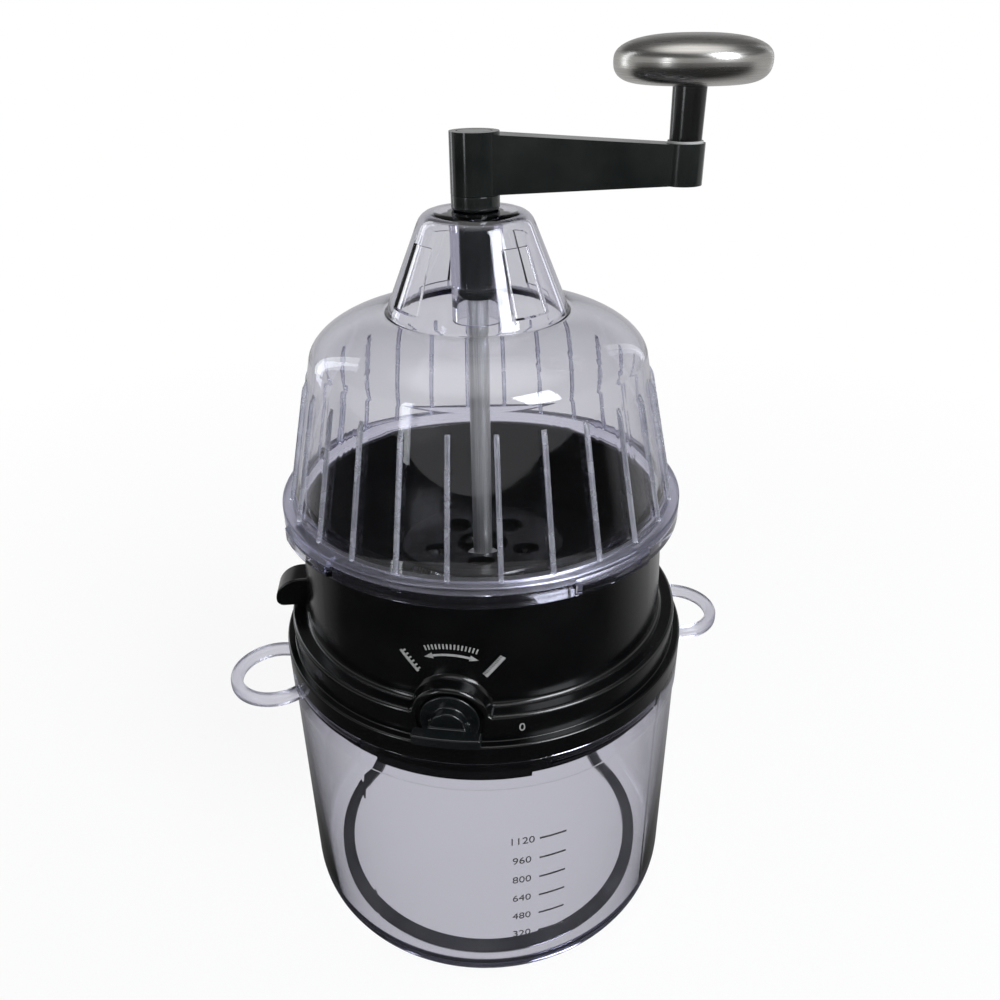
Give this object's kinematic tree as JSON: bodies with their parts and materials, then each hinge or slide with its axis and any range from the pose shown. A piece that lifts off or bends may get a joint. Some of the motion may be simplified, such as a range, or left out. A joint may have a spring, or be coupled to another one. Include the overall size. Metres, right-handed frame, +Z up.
{
  "type": "spiralizer",
  "caption": "Hand cranked spiralizer: clear container with ear loops, cutting unit with comb selector dial, clear ribbed dome, feed rod and crank with a mushroom knob.",
  "frame": {"origin": "centre of the base, on the surface that it stands on", "axes": "+Z up along the crank's axis; the selector dial faces -Y"},
  "size_m": [0.1848, 0.1556, 0.315],
  "materials": {
    "clear_plastic": "clear gloss",
    "black_plastic": "satin",
    "rubber": "matt",
    "steel": "brushed",
    "satin_steel": "satin",
    "washer_plastic": "matt"
  },
  "bodies": {
    "container": {"container": "clear_plastic", "non_slip_ring": "rubber"},
    "cutting_unit": {"unit_housing": "black_plastic", "blade_plate": "black_plastic", "plate_screws": "steel", "main_blade": "steel", "blade_screws": "steel", "coring_tube": "steel"},
    "selector": {"dial": "black_plastic", "dial_screw": "steel", "comb_drum": "black_plastic", "wide_comb": "steel", "fine_comb": "steel"},
    "dome": {"dome": "clear_plastic"},
    "bush": {"neck_bush": "black_plastic"},
    "crank": {"crank_arm": "black_plastic", "hub_screw": "steel", "hub_cap": "black_plastic", "drive_rod": "steel", "rod_collar": "steel", "rod_screw": "steel", "food_holder": "black_plastic", "holder_pins": "steel", "grip_pin": "steel", "grip_washer": "washer_plastic"},
    "grip": {"grip_stem": "black_plastic", "knob_pan": "satin_steel", "knob_cap": "satin_steel"}
  },
  "joints": [
    {"name": "unit_lift", "type": "slide", "parent": "container", "child": "cutting_unit", "axis": [0, 0, 1], "range_m": [0, 0.06]},
    {"name": "dial_turn", "type": "hinge", "parent": "cutting_unit", "child": "selector", "pos_m": [0, -0.06, 0.125], "axis": [0, -1, 0], "range_deg": [0, 119]},
    {"name": "dome_lift", "type": "slide", "parent": "cutting_unit", "child": "dome", "axis": [0, 0, 1], "range_m": [0, 0.06]},
    {"name": "crank_turn", "type": "hinge", "parent": "dome", "child": "bush", "pos_m": [0, 0, 0.26], "axis": [0, 0, 1], "continuous": true},
    {"name": "shaft_feed", "type": "slide", "parent": "bush", "child": "crank", "axis": [0, 0, 1], "range_m": [0, 0.075]},
    {"name": "grip_spin", "type": "hinge", "parent": "crank", "child": "grip", "pos_m": [0.06229, 0.00875, 0.295], "axis": [0, 0, 1], "continuous": true}
  ]
}
